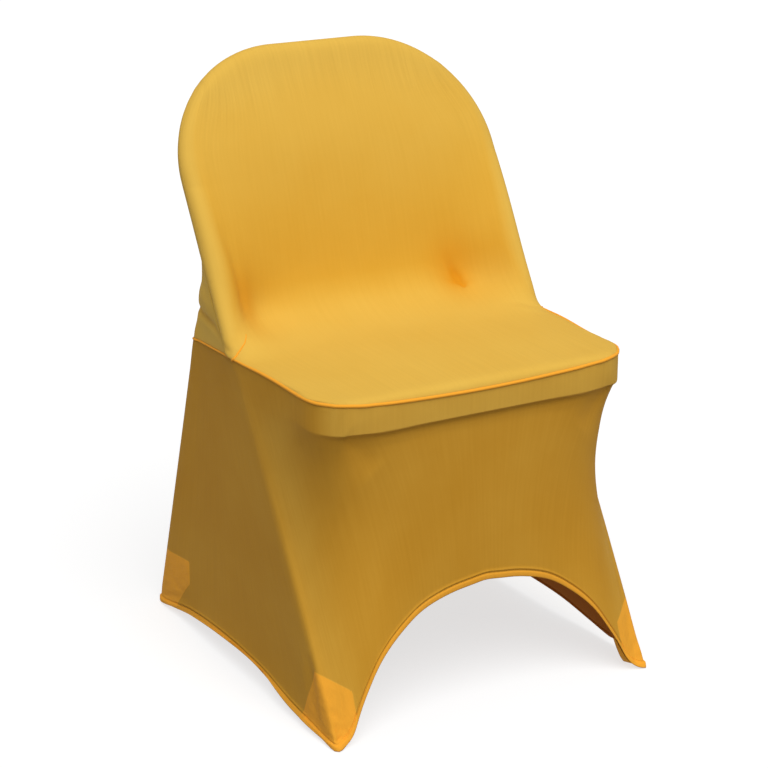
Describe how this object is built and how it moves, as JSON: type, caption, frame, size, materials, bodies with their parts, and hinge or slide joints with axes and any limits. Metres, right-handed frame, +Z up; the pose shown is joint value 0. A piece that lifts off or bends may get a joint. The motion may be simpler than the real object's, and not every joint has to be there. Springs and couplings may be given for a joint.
{
  "type": "folding chair cover",
  "caption": "Fitted stretch cover for a folding chair, with a rounded backrest, a seat with a front band, a full skirt with open arches and foot pockets.",
  "frame": {"origin": "inside the top of the backrest, where the chair holds the cover up", "axes": "+X to the sitter's left and the viewer's right seen from the front, the front faces -Y, +Z up"},
  "size_m": [0.4992, 0.5478, 0.8272],
  "materials": {
    "front_panel": "matte stretch knit, gold",
    "back_panel": "matte stretch knit, gold",
    "skirt": "matte stretch knit, gold",
    "foot_pocket": "matte stretch knit, gold"
  },
  "bodies": {
    "root": {"front_panel": "front_panel", "back_panel": "back_panel", "skirt": "skirt", "foot_pocket_front_left": "foot_pocket", "foot_pocket_front_right": "foot_pocket", "foot_pocket_rear_left": "foot_pocket", "foot_pocket_rear_right": "foot_pocket"}
  },
  "joints": []
}
